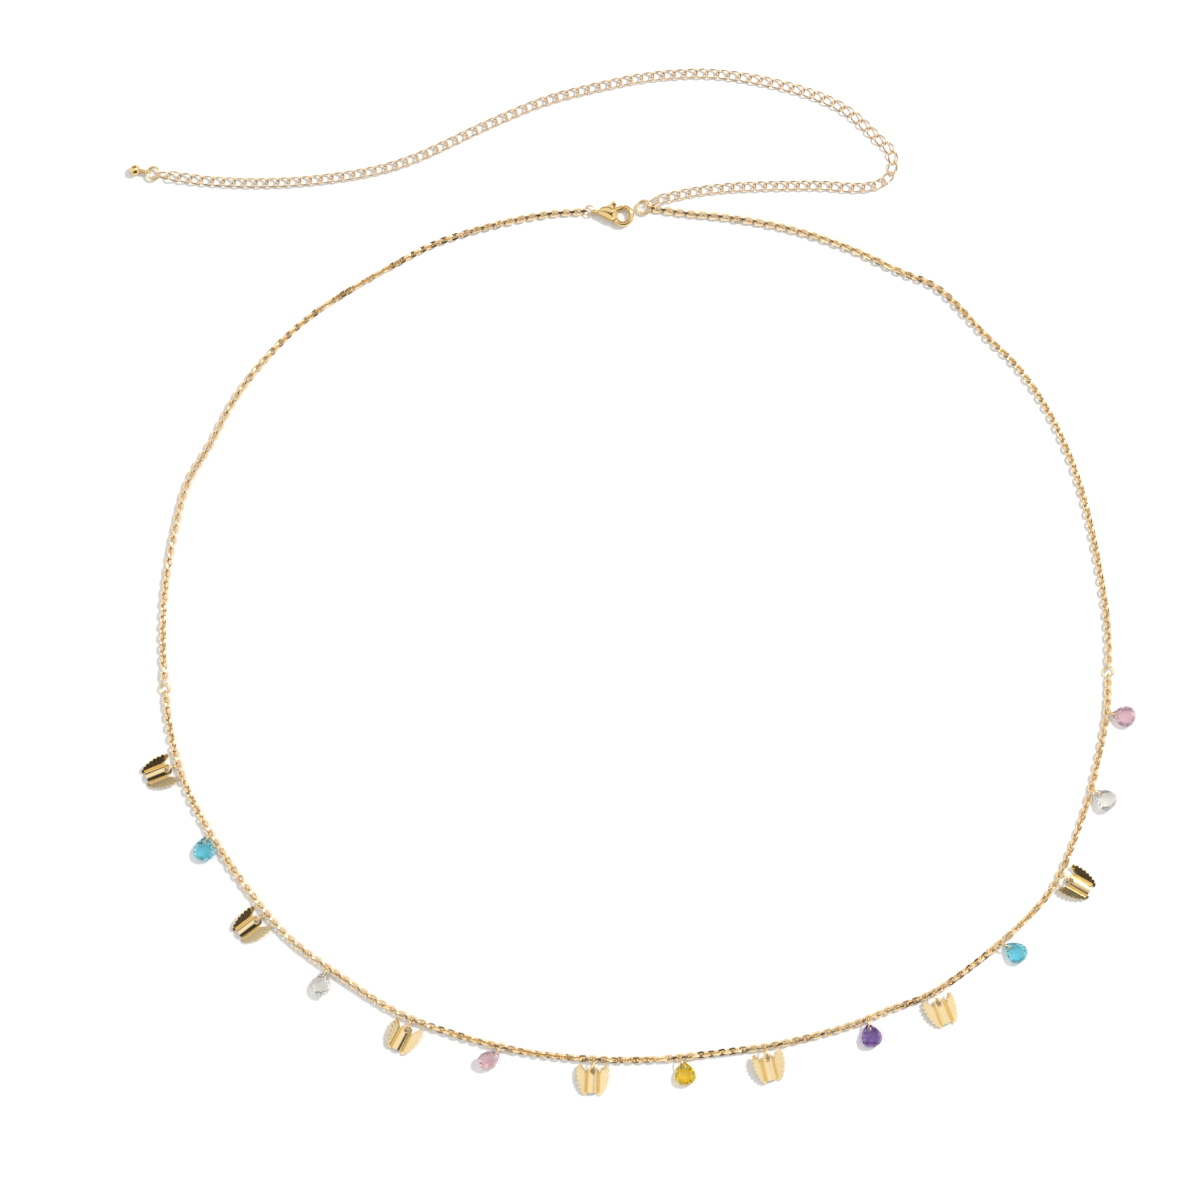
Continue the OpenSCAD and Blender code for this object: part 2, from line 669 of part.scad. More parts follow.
chain_rear_left();
chain_front();
chain_rear_right();
extender_chain();
clasp_ring();
clasp_body();
clasp_lever();
side_ring_left();
side_ring_right();
end_ring();
ball_ring();
ball_drop();
for (i = [1:butterflies]) {
    butterfly(butterfly_rows[i - 1]);
    drop_ring(butterfly_rows[i - 1]);
}
for (i = [1:glasses]) {
    glass_drop(glass_rows[i - 1], glass_colours[i - 1]);
    drop_ring(glass_rows[i - 1]);
}
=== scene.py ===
"""Looks of the waist chain: fine links, folded butterflies, cut glass, gold, floor, light and camera.

Shapes are worked out in millimetres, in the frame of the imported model, and written in metres.
"""
import math

import bmesh
import bpy
import numpy as np
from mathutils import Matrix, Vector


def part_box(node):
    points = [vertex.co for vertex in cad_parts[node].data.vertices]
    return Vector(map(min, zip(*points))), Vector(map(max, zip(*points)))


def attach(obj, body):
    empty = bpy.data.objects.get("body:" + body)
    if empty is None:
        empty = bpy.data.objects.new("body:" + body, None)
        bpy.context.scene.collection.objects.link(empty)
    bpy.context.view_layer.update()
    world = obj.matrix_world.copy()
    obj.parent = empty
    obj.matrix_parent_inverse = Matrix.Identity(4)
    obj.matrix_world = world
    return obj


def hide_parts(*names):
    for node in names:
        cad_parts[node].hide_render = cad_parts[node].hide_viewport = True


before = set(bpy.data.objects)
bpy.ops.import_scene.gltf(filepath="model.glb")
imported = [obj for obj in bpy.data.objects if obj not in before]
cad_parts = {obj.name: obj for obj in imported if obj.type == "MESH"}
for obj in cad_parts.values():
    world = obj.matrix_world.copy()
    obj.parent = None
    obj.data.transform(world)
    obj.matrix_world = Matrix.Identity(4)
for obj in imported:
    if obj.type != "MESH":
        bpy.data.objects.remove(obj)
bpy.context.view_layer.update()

MM = 0.001

# Sizes of the links and rings, in millimetres
CABLE_WIRE, CABLE_WIDTH, CABLE_LENGTH = 0.6, 2.05, 2.74
CABLE_AXIS = CABLE_WIDTH / 2
CABLE_PITCH = 1.54
TWIST_LENGTH = 5.0
CURB_WIRE, CURB_WIDTH, CURB_LENGTH = 0.48, 2.85, 4.1
CURB_PITCH = 2.93
CURB_TWIST = 90
CURB_STAND = 75
CURB_LOW, CURB_HIGH, CURB_CLIMB = 0.73, 1.33, 16

# Distances from a ring's middle to the first link on it
SIDE_LINK, END_LINK = 1.72, 2.04
FIRST_CURB, LAST_CURB = 2.58, 2.66

# Sizes of the clasp, measured from its eye along its length
CLASP_REACH = 7.6
CLASP_THICKNESS = 2.6
CLASP_TURN = math.radians(-8)
CAST_THICKNESS = CLASP_THICKNESS * 0.96
HOOK_OUTSIDE, HOOK_BAR = 5.9, 1.3
HOOK_RADIUS = (HOOK_OUTSIDE - HOOK_BAR) / 2
GATE_RADIUS = HOOK_RADIUS - 0.2
EYE_INSIDE, EYE_WIRE = 0.9, 0.7
CHEEK, LEVER_THICKNESS, LEVER_SWELL = 0.94, 0.64, 0.9
PIN_FROM_EYE = 2.66
TAB_START, TAB_HEIGHT, TAB_LEAN = 4.1, 3.6, 0.75
SMALL_RING_RADIUS = 1.35

# Where the hook, the cheeks' round ends and the gate start and stop round the hook's middle, in degrees
HOOK_ARC, CHEEK_ARC, GATE_ARC = (-148, 99), (-205, -142), (150, 100)

# Sizes of the ball and its eye, and the way it points from the middle of its ring
BALL_RADIUS, BALL_NECK = 1.4, 1.1
BALL_EYE_RADIUS, BALL_EYE_WIRE = 0.66, 0.45
BALL_RING_RADIUS = 1.625
BALL_TURN = math.radians(170)

# Sizes of a butterfly
SHEET = 0.3
WING_LENGTH, WING_BREADTH, WING_FOLD = 8.4, 3.35, math.radians(33)
WING_FRONT = 0.21 * WING_LENGTH
WING_CURL = -0.02
SCALLOPS, SCALLOP_DEPTH, FLUTE = 8, 0.5, 0.008
BODY_WIDTH, BODY_HEIGHT, BODY_LENGTH, BODY_FRONT, BODY_HOLE = 3.0, 1.2, 7.1, 1.2, 1.2
RIM_WIRE = 0.36

# The way to the dark panel of the sky
PANEL_WAY = (0.332, -0.624, 0.707)

# The photograph's frame: its width on the surface, and where its middle lies
FRAME_WIDTH = 320.4
FRAME_MIDDLE = (-9.3, -4.9)
CAMERA_HEIGHT = 1300.0

# Places that each run passes through
REAR_LEFT = [
    [-12, 99], [-24, 98], [-36.5, 95.5], [-47.5, 92.3], [-57, 88.5], [-77.5, 77], [-89.5, 68.5],
    [-99.5, 58.5], [-107, 48.5], [-113.5, 36.5], [-119.5, 26], [-123, 13], [-125.5, -2.5], [-126, -15.5],
    [-125.5, -28.5]]
FRONT = [
    [-125.5, -28.5], [-124, -40], [-120.5, -53], [-113.5, -67], [-103.5, -82], [-92.5, -95],
    [-78.5, -105.5], [-63.5, -115], [-47.5, -121], [-29.5, -125.5], [-11, -127.5], [5.5, -127.5],
    [20.5, -126], [38.5, -123.5], [56, -119], [67.5, -114.5], [78.5, -110.3], [88.5, -103.8],
    [101.5, -93], [112, -81], [119.5, -63], [123.5, -48.5], [126, -35], [126.5, -24]]
REAR_RIGHT = [
    [126.5, -24], [126.5, -15.5], [125.5, -5], [122, 14], [117.5, 30], [111, 44.5], [103, 56.5], [93.5, 66],
    [81.5, 78], [70.5, 83], [57.5, 89], [43, 93.8], [28, 96.8], [12.5, 98.5], [2.5, 100]]
EXTENDER = [
    [2.5, 100], [4.7, 101.3], [8, 102.4], [18.5, 104.5], [30.5, 105.5], [48.5, 105.8], [58.5, 105.2],
    [63.9, 105.8], [67.5, 107.7], [69, 111.3], [68.3, 115], [65.4, 118], [55.5, 126.5], [41.5, 132],
    [22.5, 135.5], [5.5, 135], [-9.5, 132.2], [-24.5, 128.2], [-40.5, 121.5], [-56.5, 114], [-68.5, 110],
    [-83.5, 107.5], [-98.5, 106.5], [-113.5, 107], [-128.5, 109]]

# A butterfly's row: its place as a share of the front run, and its turn and roll in degrees.
SHARE, TURN, ROLL = 0, 1, 2
BUTTERFLIES = [[0.057, 6, -5], [0.1865, -2, -6], [0.3195, -5, -3], [0.457, 1, 0], [0.584, 4, -7],
    [0.7165, -7, 7], [0.845, -3, 0]]
GLASS_SHARES = [0.1135, 0.2455, 0.3885, 0.521, 0.664, 0.7775, 0.913, 0.9705]
GLASS_DROPS = ["turquoise", "clear", "pink", "yellow", "purple", "turquoise", "clear", "lilac"]

rng = np.random.default_rng(7)


def smooth_curve(places, steps=12):
    """Catmull-Rom: from b to c it is (2b + (c-a)u + (2a-5b+4c-d)u^2 + (3b-a-3c+d)u^3) / 2."""
    p = np.array(places, float)
    q = np.vstack([2 * p[0] - p[1], p, 2 * p[-1] - p[-2]])
    a, b, c, d = q[:-3, None], q[1:-2, None], q[2:-1, None], q[3:, None]
    u = (np.arange(steps) / steps)[None, :, None]
    curve = (2 * b + (c - a) * u + (2 * a - 5 * b + 4 * c - d) * u**2 + (3 * b - a - 3 * c + d) * u**3) / 2
    return np.vstack([curve.reshape(-1, p.shape[1]), p[-1:]])


class Route:
    """A smooth curve through places, read by the distance travelled along it."""

    def __init__(self, places):
        self.points = smooth_curve(places)
        steps = np.linalg.norm(np.diff(self.points, axis=0), axis=1)
        self.travel = np.concatenate([[0], np.cumsum(steps)])
        self.length = self.travel[-1]

    def at(self, s):
        return np.stack([np.interp(s, self.travel, self.points[:, k]) for k in (0, 1)], -1)

    def heading(self, s, reach=0.8):
        d = self.at(s + reach) - self.at(s - reach)
        return np.arctan2(d[..., 1], d[..., 0])


def grid_faces(rows, columns, close_rows, close_columns):
    """Quads between the neighbours of a grid of rows by columns, closed either way if asked."""
    i = np.arange(rows if close_rows else rows - 1)[:, None]
    j = np.arange(columns if close_columns else columns - 1)[None, :]
    below, right = (i + 1) % rows, (j + 1) % columns
    corners = [i * columns + j, below * columns + j, below * columns + right, i * columns + right]
    return np.stack(corners, -1).reshape(-1, 4)


def joined(parts):
    """One list of points and one of faces from several (points, faces)."""
    starts = np.cumsum([0] + [len(points) for points, faces in parts[:-1]])
    return (np.vstack([points for points, faces in parts]),
        np.vstack([faces + start for start, (points, faces) in zip(starts, parts)]))


def unit(v):
    return v / np.linalg.norm(v, axis=-1, keepdims=True)


def turns(heading, rise, roll):
    """Matrices that roll about X, then raise +X, then turn about Z, all in radians."""
    ch, sh, cr, sr = np.cos(heading), np.sin(heading), np.cos(roll), np.sin(roll)
    cp, sp = np.cos(rise), np.sin(rise)
    zero, rows = np.zeros_like(ch * cr * cp), []
    turn = np.array([[ch + zero, -sh + zero, zero], [sh + zero, ch + zero, zero], [zero, zero, zero + 1]])
    lift = np.array([[cp + zero, zero, -sp + zero], [zero, zero + 1, zero], [sp + zero, zero, cp + zero]])
    spin = np.array([[zero + 1, zero, zero], [zero, cr + zero, -sr + zero], [zero, sr + zero, cr + zero]])
    return np.einsum("ij...,jk...,kl...->...il", turn, lift, spin)


def repeated(template, faces, places, matrices):
    """The template at each place: place + matrix times point."""
    points = places[:, None] + np.einsum("nij,mj->nmi", matrices, template)
    shift = np.arange(len(places))[:, None, None] * len(template)
    return points.reshape(-1, 3), (faces[None] + shift).reshape(-1, 4)


def swept(path, widths, heights, across, sides=16):
    """A tube round a path in a plane: its section is an ellipse with that width across the path and that
    height along the plane's normal, drawn in to nothing at both ends."""
    path, across = np.asarray(path, float), np.asarray(across, float)
    along = unit(np.gradient(path, axis=0))
    side = unit(np.cross(np.broadcast_to(across, along.shape), along))
    w = 2 * math.pi * np.arange(sides) / sides
    spread = (side[:, None] * (np.cos(w)[:, None] * np.asarray(widths)[:, None, None] / 2)
        + across * (np.sin(w)[:, None] * np.asarray(heights)[:, None, None] / 2))
    return (path[:, None] + spread).reshape(-1, 3), grid_faces(len(path), sides, False, True)


def round_ends(steps, from_end=0.12):
    """Shares that rise from 0 at both ends of a path like a quarter circle and are 1 between."""
    u = np.linspace(0, 1, steps)
    near = np.clip(np.minimum(u, 1 - u) / from_end, 0, 1)
    return u, np.sqrt(1 - (1 - near) ** 2)


def ring(centre, normal, radius, wire, turns_round=40, sides=12):
    """A torus: centre + radius * outward, with a circle of the wire round it."""
    normal = unit(np.asarray(normal, float))
    first = unit(np.cross(normal, [0.3, 0.5, 0.81]))
    second = np.cross(normal, first)
    t = 2 * math.pi * np.arange(turns_round) / turns_round
    w = 2 * math.pi * np.arange(sides) / sides
    out = np.cos(t)[:, None] * first + np.sin(t)[:, None] * second
    points = (np.asarray(centre) + out[:, None] * (radius + wire / 2 * np.cos(w)[:, None])
        + normal * (wire / 2 * np.sin(w)[:, None]))
    return points.reshape(-1, 3), grid_faces(turns_round, sides, True, True)


def shell(surface, thickness, close_rows=False):
    """A sheet with that thickness from a grid of points: both faces along the grid's normals, and a rim."""
    rows, columns = surface.shape[:2]
    if close_rows:
        down = np.roll(surface, -1, 0) - np.roll(surface, 1, 0)
    else:
        down = np.gradient(surface, axis=0)
    normal = unit(np.cross(down, np.gradient(surface, axis=1)))
    top, under = surface + normal * thickness / 2, surface - normal * thickness / 2
    points = np.vstack([top.reshape(-1, 3), under.reshape(-1, 3)])
    faces, offset = grid_faces(rows, columns, close_rows, False), rows * columns
    index = np.arange(offset).reshape(rows, columns)
    edges = [index[:, 0], index[::-1, -1]]
    if close_rows:
        edges = [np.append(index[:, 0], index[0, 0]), np.append(index[::-1, -1], index[-1, -1])]
    else:
        edges += [index[-1, :], index[0, ::-1]]
    rim = [np.stack([e[:-1], e[1:], e[1:] + offset, e[:-1] + offset], -1)[:, ::-1] for e in edges]
    return points, np.vstack([faces, faces[:, ::-1] + offset] + rim)


def piece(name, shape, nodes, finish, body="chain", sharp=40):
    """A mesh object of points and quads, welded where they meet, that stands for the nodes."""
    points, faces = shape
    mesh = bpy.data.meshes.new(name)
    mesh.vertices.add(len(points))
    mesh.vertices.foreach_set("co", (points * MM).astype(np.float32).ravel())
    mesh.loops.add(faces.size)
    mesh.loops.foreach_set("vertex_index", faces.astype(np.int32).ravel())
    mesh.polygons.add(len(faces))
    mesh.polygons.foreach_set("loop_start", np.arange(0, faces.size, 4, dtype=np.int32))
    mesh.update(calc_edges=True)
    work = bmesh.new()
    work.from_mesh(mesh)
    bmesh.ops.remove_doubles(work, verts=work.verts, dist=2e-7)
    bmesh.ops.recalc_face_normals(work, faces=work.faces)
    work.to_mesh(mesh)
    work.free()
    mesh.polygons.foreach_set("use_smooth", np.ones(len(mesh.polygons), bool))
    mesh.set_sharp_from_angle(angle=math.radians(sharp))
    mesh.materials.append(finish)
    made = bpy.data.objects.new(name, mesh)
    bpy.context.scene.collection.objects.link(made)
    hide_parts(*nodes)
    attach(made, body)
    return made


class Socket:
    """A socket in a material's nodes, so that an expression on it adds the nodes of its maths."""

    def __init__(self, tree, output):
        self.tree, self.output = tree, output

    def maths(self, operation, first, second):
        return Nodes(self.tree).add("ShaderNodeMath", {"operation": operation}, {0: first, 1: second})

    def __add__(self, other):
        return self.maths("ADD", self, other)

    def __sub__(self, other):
        return self.maths("SUBTRACT", self, other)

    def __rsub__(self, other):
        return self.maths("SUBTRACT", other, self)

    def __mul__(self, other):
        return self.maths("MULTIPLY", self, other)

    def __pow__(self, other):
        return self.maths("POWER", self, other)

    __radd__ = __add__
    __rmul__ = __mul__


class Nodes:
    """The nodes of one material."""

    def __init__(self, tree):
        self.tree = tree

    def add(self, kind, settings=None, inputs=None, output=0):
        """A node of that type with its settings, then the values or links of its sockets."""
        node = self.tree.nodes.new(kind)
        for key, value in (settings or {}).items():
            setattr(node, key, value)
        self.set(node, inputs or {})
        return Socket(self.tree, node.outputs[output])

    def set(self, node, inputs):
        for key, value in inputs.items():
            if isinstance(value, Socket):
                self.tree.links.new(value.output, node.inputs[key])
            else:
                node.inputs[key].default_value = value

    def span(self, value, read, given):
        """The value's place between the two it is read between, carried over to the two that are given."""
        sockets = {0: value, 1: read[0], 2: read[1], 3: given[0], 4: given[1]}
        return self.add("ShaderNodeMapRange", {}, sockets)

    def noise(self, scale, detail=2.0):
        place = self.add("ShaderNodeTexCoord", output="Object")
        return self.add("ShaderNodeTexNoise", {}, {"Vector": place, "Scale": scale, "Detail": detail})

    def mix(self, share, first, second):
        node = self.tree.nodes.new("ShaderNodeMix")
        node.data_type = "RGBA"
        self.set(node, {0: share, 6: (*first, 1), 7: (*second, 1)})
        return Socket(self.tree, node.outputs[2])

    def bump(self, height, distance, strength=1.0):
        return self.add("ShaderNodeBump", {}, {"Height": height, "Distance": distance, "Strength": strength})


def material(name):
    """A new material's nodes and its Principled shader."""
    made = bpy.data.materials.new(name)
    made.use_nodes = True
    return made, Nodes(made.node_tree), made.node_tree.nodes["Principled BSDF"]


def gold(name, bright, deep, roughness, ripple):
    """Plated metal: its colour drifts between two golds, its polish varies, and it ripples slightly."""
    made, nodes, shader = material(name)
    drift = nodes.noise(180.0)
    polish = nodes.noise(2600.0, 3.0)
    nodes.set(shader, {
        "Base Color": nodes.mix(drift, deep, bright),
        "Metallic": 1.0,
        "Roughness": polish * 0.14 + (roughness - 0.05),
        "Normal": nodes.bump(nodes.noise(900.0), ripple * MM)})
    return made


def cut_glass(name, colour, deep):
    """Clear coloured glass with faint drifts of its colour and a few worn facets."""
    made, nodes, shader = material(name)
    drift = nodes.noise(320.0)
    nodes.set(shader, {
        "Base Color": nodes.mix(drift ** 1.5, colour, deep),
        "Roughness": nodes.noise(1400.0) * 0.08,
        "IOR": 1.52,
        "Transmission Weight": 0.9,
        "Normal": nodes.bump(nodes.noise(500.0), 0.01 * MM)})
    return made


CABLE_GOLD = gold("cable gold", (0.93, 0.75, 0.47), (0.82, 0.6, 0.33), 0.2, 0.004)
RING_GOLD = gold("ring gold", (0.93, 0.73, 0.4), (0.85, 0.6, 0.28), 0.18, 0.004)
EXTENDER_GOLD = gold("extender gold", (0.9, 0.73, 0.51), (0.8, 0.6, 0.4), 0.2, 0.004)
CLASP_GOLD = gold("clasp gold", (0.88, 0.66, 0.31), (0.74, 0.5, 0.2), 0.11, 0.008)
STAMPED_GOLD = gold("stamped gold", (0.92, 0.75, 0.44), (0.84, 0.65, 0.35), 0.16, 0.01)
GLASS = {
    "turquoise": cut_glass("turquoise glass", (0.42, 0.9, 0.98), (0.16, 0.68, 0.86)),
    "clear": cut_glass("clear glass", (1.0, 0.99, 0.96), (0.9, 0.88, 0.82)),
    "pink": cut_glass("pink glass", (1.0, 0.82, 0.85), (0.95, 0.64, 0.7)),
    "yellow": cut_glass("yellow glass", (1.0, 0.83, 0.06), (1.0, 0.68, 0.02)),
    "purple": cut_glass("purple glass", (0.5, 0.32, 0.7), (0.2, 0.1, 0.34)),
    "lilac": cut_glass("lilac glass", (0.98, 0.78, 0.84), (0.86, 0.6, 0.7))}


def oval_link(length, width, wire, turns_round, sides, near=0.0, far=0.0):
    """A link along X: x = straight * sign(cos t) + side * cos t and y = side * sin t, turned about X by an
    angle that goes from near to far with x, and a circle of the wire round that line."""
    straight, side = (length - width) / 2, (width - wire) / 2
    t = 2 * math.pi * (np.arange(turns_round) + 0.5) / turns_round
    x = straight * np.sign(np.cos(t)) + side * np.cos(t)
    angle = np.radians(near + (far - near) * (x / (straight + side) + 1) / 2)
    line = np.stack([x, side * np.sin(t) * np.cos(angle), side * np.sin(t) * np.sin(angle)], -1)
    out = np.stack([np.cos(t), np.sin(t) * np.cos(angle), np.sin(t) * np.sin(angle)], -1)
    along = unit(np.roll(line, -1, 0) - np.roll(line, 1, 0))
    n = unit(out - np.sum(out * along, -1, keepdims=True) * along)
    m = np.cross(along, n)
    w = 2 * math.pi * np.arange(sides) / sides
    points = line[:, None] + wire / 2 * (np.cos(w)[:, None] * n[:, None] + np.sin(w)[:, None] * m[:, None])
    return points.reshape(-1, 3), grid_faces(turns_round, sides, True, True)


def ease(u):
    v = np.clip(u, 0, 1)
    return v * v * (3 - 2 * v)


def cable_chain(name, route, knots, wave, still=0.0):
    """Oval links along a route. They stand and lie in turn: the first and last stand, those at the knots
    between lie, and the links between two knots are spaced evenly, no further apart than the pitch. Away
    from the knots the chain rolls slowly, by 45 degrees * sin^2(pi * (s - still) / wave)."""
    stations, rolls = [], []
    for k, (start, end) in enumerate(zip(knots[:-1], knots[1:])):
        stands_first, stands_last = k == 0, k == len(knots) - 2
        count = math.ceil((end - start) / CABLE_PITCH - 0.02)
        count += (count % 2) != (stands_first != stands_last)
        steps = np.arange(count + stands_last)
        stations.append(start + (end - start) * steps / count)
        rolls.append(90.0 * ((steps % 2 == 0) == stands_first))
    s, roll = np.concatenate(stations), np.concatenate(rolls)
    free = ease((np.abs(s[:, None] - np.array(knots)).min(1) - CABLE_PITCH) / TWIST_LENGTH)
    twist = np.radians(45) * free * np.sin(math.pi * (s - still) / wave) ** 2
    roll += np.degrees(twist) + rng.normal(0, 5, len(s))
    height = (CABLE_WIDTH - CABLE_WIRE) / 2 * np.cos(twist) + CABLE_WIRE / 2
    places = np.column_stack([route.at(s), height])
    matrices = turns(route.heading(s) + rng.normal(0, 0.04, len(s)), np.zeros(len(s)), np.radians(roll))
    template, faces = oval_link(CABLE_LENGTH, CABLE_WIDTH, CABLE_WIRE, 14, 6)
    return piece(name + "_links", repeated(template, faces, places, matrices), [name], CABLE_GOLD)


def curb_height(s, length):
    """Height of the extender's axis: low along it, higher at both ends, where a link stands."""
    return CURB_HIGH - (CURB_HIGH - CURB_LOW) * ease(np.minimum(s, length - s) / CURB_CLIMB)


def extender(route):
    """Twisted curb links, each turned a quarter from one end to the other, the first and last standing."""
    first, last = FIRST_CURB, route.length - LAST_CURB
    count = math.ceil((last - first) / CURB_PITCH)
    s = first + (last - first) * np.arange(count + 1) / count
    places = np.column_stack([route.at(s), curb_height(s, route.length)])
    slope = (curb_height(s + 1.5, route.length) - curb_height(s - 1.5, route.length)) / 3
    matrices = turns(route.heading(s, 1.5), np.arctan(slope), np.zeros(len(s)))
    half = CURB_TWIST / 2
    kinds = [(slice(0, 1), CURB_STAND, half), (slice(1, -1), -half, half),
        (slice(-1, None), -half, -CURB_STAND)]
    parts = []
    for which, near, far in kinds:
        template, faces = oval_link(CURB_LENGTH, CURB_WIDTH, CURB_WIRE, 22, 8, near, far)
        parts.append(repeated(template, faces, places[which], matrices[which]))
    return piece("extender_links", joined(parts), ["extender_chain"], EXTENDER_GOLD)


def wing_outline(steps_a_scallop=8):
    """A wing's edge from fore tip to hind tip, with scallops bitten out as 1 - sqrt(sin^2 + soft)."""
    edge = np.array([[0, 0.74], [0.03, 0.88], [0.12, 0.98], [0.24, 1], [0.47, 0.95], [0.7, 0.77],
        [0.88, 0.54], [0.96, 0.36], [1, 0.16]])
    curve = Route(edge * [WING_LENGTH, WING_BREADTH] - [WING_FRONT, 0])
    u = np.linspace(0, 1, SCALLOPS * steps_a_scallop + 1)
    points = curve.at(u * curve.length)
    points[:, 1] -= SCALLOP_DEPTH * (1 - np.sqrt(np.sin(math.pi * SCALLOPS * u) ** 2 + 0.01))
    return u, points


def wing(side):
    """A wing: straight lines from its root to its edge, almost flat, fluted behind its scallops and folded
    up at its root: up = curl * y^2 / breadth + flute, then the fold."""
    u, edge = wing_outline()
    root = np.stack([np.interp(u, [0, 1], [BODY_LENGTH * 0.14, BODY_LENGTH - BODY_FRONT - 0.2]), 0 * u], -1)
    out = np.linspace(0, 1, 14)[None, :, None]
    flat = root[:, None] * (1 - out) + edge[:, None] * out
    flute = FLUTE * np.cos(2 * math.pi * SCALLOPS * u)[:, None] * out[..., 0] ** 3
    up = WING_CURL * flat[..., 1] ** 2 / WING_BREADTH + flute
    y = flat[..., 1] * math.cos(WING_FOLD) - up * math.sin(WING_FOLD)
    z = flat[..., 1] * math.sin(WING_FOLD) + up * math.cos(WING_FOLD)
    return shell(np.stack([flat[..., 0], side * (BODY_WIDTH / 2 + y), z], -1), SHEET)


def body_arc(y):
    """Height of the half-round body's middle surface above its valleys, an arc across it:
    height - radius + sqrt(radius^2 - y^2)."""
    valley = BODY_WIDTH / 2
    radius = (valley**2 + BODY_HEIGHT**2) / (2 * BODY_HEIGHT)
    return BODY_HEIGHT - radius + np.sqrt(radius**2 - np.clip(y, -valley, valley) ** 2)


def hole_rim():
    """A rolled rim round the body's hole, which follows the body's arc."""
    points, faces = ring([0, 0, SHEET / 2], [0, 0, 1], BODY_HOLE / 2 + RIM_WIRE / 2, RIM_WIRE, 32, 10)
    points[:, 2] += body_arc(points[:, 1])
    return points, faces


def butterfly_body():
    """The half-round body: straight lines from the hole's edge to the outline, raised by the body's arc."""
    valley = BODY_WIDTH / 2
    front = valley - BODY_FRONT
    tail = BODY_LENGTH - BODY_FRONT
    a = np.linspace(math.pi / 2, 3 * math.pi / 2, 40)
    nose = np.stack([front + valley * np.cos(a), valley * np.sin(a)], -1)
    lower = np.stack([np.linspace(front, tail, 24)[1:], np.full(23, -valley)], -1)
    end = np.stack([np.full(14, tail), np.linspace(-valley, valley, 14)], -1)[1:]
    upper = np.stack([np.linspace(tail, front, 24)[1:-1], np.full(22, valley)], -1)
    outline = np.vstack([nose, lower, end, upper])
    hole = BODY_HOLE / 2 * unit(outline)
    out = np.linspace(0, 1, 12)[None, :, None]
    flat = hole[:, None] * (1 - out) + outline[:, None] * out
    return shell(np.concatenate([flat, body_arc(flat[..., 1:])], -1), SHEET, close_rows=True)


def middle_of(node):
    low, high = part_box(node)
    return (np.array(low) + np.array(high)) / 2 / MM


def butterfly(number, row, front):
    """A butterfly turned and rolled as its row says, over its node's middle and as low as its node."""
    points, faces = joined([wing(-1), butterfly_body(), hole_rim(), wing(1)])
    heading = front.heading(row[SHARE] * front.length) + math.radians(row[TURN] - 90)
    points = points @ turns(heading, 0.0, math.radians(row[ROLL])).T
    node = f"butterfly_{number}"
    points += middle_of(node) - (points.min(0) + points.max(0)) / 2
    points[:, 2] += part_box(node)[0][2] / MM - points[:, 2].min()
    return piece(f"butterfly_sheet_{number}", (points, faces), [node], STAMPED_GOLD, sharp=50)


def ring_of(node):
    """A smooth ring in place of a ring node, with its middle, its axis and its two radii read from it."""
    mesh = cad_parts[node].data
    co = np.zeros(len(mesh.vertices) * 3)
    mesh.vertices.foreach_get("co", co)
    co = co.reshape(-1, 3) / MM
    middle = middle_of(node)
    axis = np.linalg.svd(co - middle, full_matrices=False)[2][2]
    wire = 2 * np.abs((co - middle) @ axis).max()
    radius = np.linalg.norm(co - middle, axis=1).max() - wire / 2
    return piece(node + "_wire", ring(middle, axis, radius, wire), [node], RING_GOLD)


def clasp_place(points):
    """Points of the clasp's own frame in the part's: turned about its eye and raised to its middle."""
    middle_ring = np.array([*REAR_LEFT[0], 0.0])
    eye = middle_ring + SMALL_RING_RADIUS * np.array([math.cos(CLASP_TURN), math.sin(CLASP_TURN), 0])
    return points @ turns(CLASP_TURN, 0.0, 0.0).T + eye + [0, 0, CLASP_THICKNESS / 2]


def round_hook(u, arc, radius):
    """Places round the hook's middle, middle + radius * (cos a, sin a), as the angle goes along the arc."""
    a = np.radians(arc[0] + (arc[1] - arc[0]) * u)
    return np.stack([CLASP_REACH + radius * np.cos(a), radius * np.sin(a), 0 * a], -1)


